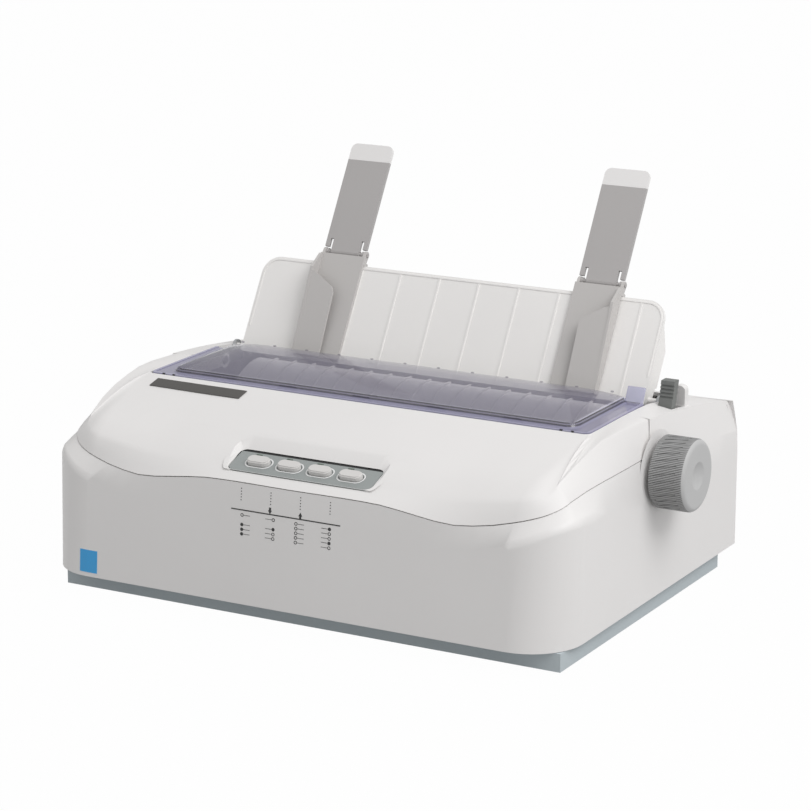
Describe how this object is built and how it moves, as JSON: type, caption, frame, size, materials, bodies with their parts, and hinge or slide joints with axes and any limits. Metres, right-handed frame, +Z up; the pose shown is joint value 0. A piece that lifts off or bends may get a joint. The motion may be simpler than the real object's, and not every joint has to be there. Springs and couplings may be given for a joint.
{
  "type": "dot matrix printer",
  "caption": "Desktop dot matrix printer with a hinged front cover, smoked window, folding sheet guide, platen knob and push tractors",
  "frame": {"origin": "at table level under the middle of the body's footprint, in the plane of the feet", "axes": "+X to the printer's right, the side with the platen knob, seen from the front; +Y to the rear; +Z up"},
  "size_m": [0.4272, 0.2959, 0.2817],
  "materials": {
    "warm_white_plastic": "fine satin moulding grain",
    "blue_grey_tray": "matt moulded",
    "black_rubber": "matt",
    "smoked_window": "clear smoked plastic",
    "white_plastic": "satin",
    "panel_grey": "satin",
    "light_grey_plastic": "satin",
    "arm_grey": "satin",
    "tip_white": "satin",
    "knob_grey": "satin",
    "lever_grey": "satin",
    "black_plastic": "satin",
    "zinc_steel": "zinc plated",
    "ground_steel": "ground",
    "platen_rubber": "smooth matt",
    "natural_nylon": "semi-matt",
    "brass": "machined",
    "motor_dark": "satin black",
    "head_alloy": "dark anodised",
    "circuit_green": "solder mask",
    "belt_black": "toothed belt",
    "button_grey": "satin"
  },
  "bodies": {
    "printer_body": {"base_tray": "blue_grey_tray", "rubber_feet": "black_rubber", "main_case": "warm_white_plastic", "hinge_brackets": "zinc_steel", "control_panel": "panel_grey", "panel_board": "circuit_green", "side_frame_left": "zinc_steel", "side_frame_right": "zinc_steel", "crossbars": "zinc_steel", "carriage_shaft": "ground_steel", "carriage_rail": "zinc_steel", "carriage_belt": "belt_black", "carriage_motor": "motor_dark", "platen_bushes": "natural_nylon", "feed_motor": "motor_dark", "paper_chute": "black_plastic", "ribbed_guide": "white_plastic", "tractor_rod": "ground_steel", "main_board": "circuit_green", "power_board": "circuit_green", "interface_port": "black_plastic", "power_inlet": "black_plastic"},
    "front_lid": {"front_cover": "warm_white_plastic", "cover_arms": "warm_white_plastic"},
    "window": {"window_cover": "smoked_window"},
    "rear_guide": {"sheet_guide": "warm_white_plastic"},
    "left_edge_guide": {"edge_guide_left": "light_grey_plastic"},
    "right_edge_guide": {"edge_guide_right": "light_grey_plastic"},
    "left_support_arm": {"support_arm_left": "arm_grey", "arm_tip_left": "tip_white"},
    "right_support_arm": {"support_arm_right": "arm_grey", "arm_tip_right": "tip_white"},
    "platen": {"platen_roller": "platen_rubber", "platen_shaft": "ground_steel", "platen_knob": "knob_grey", "platen_gear": "natural_nylon"},
    "idler": {"idler_gear": "natural_nylon"},
    "pinion": {"feed_pinion": "brass"},
    "tractor_drive": {"tractor_shaft": "ground_steel", "tractor_gear": "natural_nylon"},
    "left_tractor": {"tractor_left": "black_plastic"},
    "right_tractor": {"tractor_right": "black_plastic"},
    "left_sprocket": {"sprocket_left": "natural_nylon"},
    "right_sprocket": {"sprocket_right": "natural_nylon"},
    "left_tractor_door": {"tractor_door_left": "black_plastic"},
    "right_tractor_door": {"tractor_door_right": "black_plastic"},
    "head_carriage": {"carriage": "black_plastic", "print_head": "head_alloy", "ribbon_cartridge": "black_plastic"},
    "ribbon_winder": {"ribbon_knob": "white_plastic"},
    "belt_wheel": {"belt_pulley": "ground_steel"},
    "motor_wheel": {"motor_pulley": "ground_steel"},
    "bail": {"paper_bail": "ground_steel"},
    "bail_wheels": {"bail_rollers": "black_rubber"},
    "lever": {"release_lever": "lever_grey"},
    "rocker": {"power_switch": "black_plastic"},
    "button_one": {"button_1": "button_grey"},
    "button_two": {"button_2": "button_grey"},
    "button_three": {"button_3": "button_grey"},
    "button_four": {"button_4": "button_grey"}
  },
  "joints": [
    {"name": "front_cover_hinge", "type": "hinge", "parent": "printer_body", "child": "front_lid", "pos_m": [0, 0.044, 0.1275], "axis": [-1, 0, 0], "range_deg": [0, 50]},
    {"name": "window_hinge", "type": "hinge", "parent": "front_lid", "child": "window", "pos_m": [0, -0.0428, 0.1356], "axis": [1, 0, 0], "range_deg": [0, 100]},
    {"name": "sheet_guide_hinge", "type": "hinge", "parent": "printer_body", "child": "rear_guide", "pos_m": [0, 0.06957, 0.13194], "axis": [-1, 0, 0], "range_deg": [0, 35]},
    {"name": "left_edge_guide_slide", "type": "slide", "parent": "rear_guide", "child": "left_edge_guide", "axis": [1, 0, 0], "range_m": [-0.035, 0.06]},
    {"name": "right_edge_guide_slide", "type": "slide", "parent": "rear_guide", "child": "right_edge_guide", "axis": [1, 0, 0], "range_m": [-0.06, 0.025]},
    {"name": "left_arm_hinge", "type": "hinge", "parent": "left_edge_guide", "child": "left_support_arm", "pos_m": [-0.0983, 0.1052, 0.203], "axis": [1, 0, 0], "range_deg": [-95, 0]},
    {"name": "right_arm_hinge", "type": "hinge", "parent": "right_edge_guide", "child": "right_support_arm", "pos_m": [0.1094, 0.1052, 0.203], "axis": [1, 0, 0], "range_deg": [-95, 0]},
    {"name": "platen_spin", "type": "hinge", "parent": "printer_body", "child": "platen", "pos_m": [0, 0.0108, 0.102], "axis": [1, 0, 0], "continuous": true},
    {"name": "idler_spin", "type": "hinge", "parent": "printer_body", "child": "idler", "pos_m": [-0.1535, 0.05297, 0.09335], "axis": [1, 0, 0], "continuous": true},
    {"name": "pinion_spin", "type": "hinge", "parent": "printer_body", "child": "pinion", "pos_m": [-0.1535, 0.05819, 0.06376], "axis": [1, 0, 0], "continuous": true},
    {"name": "tractor_spin", "type": "hinge", "parent": "printer_body", "child": "tractor_drive", "pos_m": [0, 0.092, 0.092], "axis": [1, 0, 0], "continuous": true},
    {"name": "left_tractor_slide", "type": "slide", "parent": "printer_body", "child": "left_tractor", "axis": [1, 0, 0], "range_m": [-0.02, 0.06]},
    {"name": "right_tractor_slide", "type": "slide", "parent": "printer_body", "child": "right_tractor", "axis": [1, 0, 0], "range_m": [-0.06, 0.02]},
    {"name": "left_sprocket_spin", "type": "hinge", "parent": "left_tractor", "child": "left_sprocket", "pos_m": [-0.108, 0.092, 0.092], "axis": [1, 0, 0], "continuous": true},
    {"name": "right_sprocket_spin", "type": "hinge", "parent": "right_tractor", "child": "right_sprocket", "pos_m": [0.108, 0.092, 0.092], "axis": [1, 0, 0], "continuous": true},
    {"name": "left_tractor_door_hinge", "type": "hinge", "parent": "left_tractor", "child": "left_tractor_door", "pos_m": [-0.108, 0.101, 0.098], "axis": [-1, 0, 0], "range_deg": [0, 80]},
    {"name": "right_tractor_door_hinge", "type": "hinge", "parent": "right_tractor", "child": "right_tractor_door", "pos_m": [0.108, 0.101, 0.098], "axis": [-1, 0, 0], "range_deg": [0, 80]},
    {"name": "carriage_slide", "type": "slide", "parent": "printer_body", "child": "head_carriage", "axis": [1, 0, 0], "range_m": [-0.098, 0.098]},
    {"name": "ribbon_knob_spin", "type": "hinge", "parent": "head_carriage", "child": "ribbon_winder", "pos_m": [-0.024, -0.062, 0.12], "axis": [0, 0, 1], "continuous": true},
    {"name": "belt_pulley_spin", "type": "hinge", "parent": "printer_body", "child": "belt_wheel", "pos_m": [0.128, -0.0626, 0.057], "axis": [0, 0, 1], "range_deg": [-1000, 1000]},
    {"name": "motor_pulley_spin", "type": "hinge", "parent": "printer_body", "child": "motor_wheel", "pos_m": [-0.128, -0.0626, 0.057], "axis": [0, 0, 1], "range_deg": [-1000, 1000]},
    {"name": "paper_bail_hinge", "type": "hinge", "parent": "printer_body", "child": "bail", "pos_m": [0, 0.03, 0.105], "axis": [-1, 0, 0], "range_deg": [0, 30]},
    {"name": "bail_roller_spin", "type": "hinge", "parent": "bail", "child": "bail_wheels", "pos_m": [0, 0.0058, 0.1206], "axis": [1, 0, 0], "continuous": true},
    {"name": "release_lever_hinge", "type": "hinge", "parent": "printer_body", "child": "lever", "pos_m": [0.1823, 0.05625, 0.092], "axis": [1, 0, 0], "range_deg": [-7, 0]},
    {"name": "power_switch_hinge", "type": "hinge", "parent": "printer_body", "child": "rocker", "pos_m": [-0.124, 0.142, 0.042], "axis": [1, 0, 0], "range_deg": [0, 18]},
    {"name": "button_1_press", "type": "slide", "parent": "printer_body", "child": "button_one", "axis": [0, 0.342, -0.9397], "range_m": [0, 0.0012], "stiffness_N_per_m": 400, "springref_m": -0.0004},
    {"name": "button_2_press", "type": "slide", "parent": "printer_body", "child": "button_two", "axis": [0, 0.342, -0.9397], "range_m": [0, 0.0012], "stiffness_N_per_m": 400, "springref_m": -0.0004},
    {"name": "button_3_press", "type": "slide", "parent": "printer_body", "child": "button_three", "axis": [0, 0.342, -0.9397], "range_m": [0, 0.0012], "stiffness_N_per_m": 400, "springref_m": -0.0004},
    {"name": "button_4_press", "type": "slide", "parent": "printer_body", "child": "button_four", "axis": [0, 0.342, -0.9397], "range_m": [0, 0.0012], "stiffness_N_per_m": 400, "springref_m": -0.0004}
  ],
  "couplings": [
    {"joint": "idler_spin", "follows": "platen_spin", "ratio": -0.86957},
    {"joint": "tractor_spin", "follows": "platen_spin", "ratio": 1.25},
    {"joint": "pinion_spin", "follows": "platen_spin", "ratio": 2.8571},
    {"joint": "left_sprocket_spin", "follows": "platen_spin", "ratio": 1.25},
    {"joint": "right_sprocket_spin", "follows": "platen_spin", "ratio": 1.25},
    {"joint": "bail_roller_spin", "follows": "platen_spin", "ratio": -2.8},
    {"joint": "belt_pulley_spin", "follows": "carriage_slide", "rad_per_m": -166.67},
    {"joint": "motor_pulley_spin", "follows": "carriage_slide", "rad_per_m": -166.67}
  ]
}
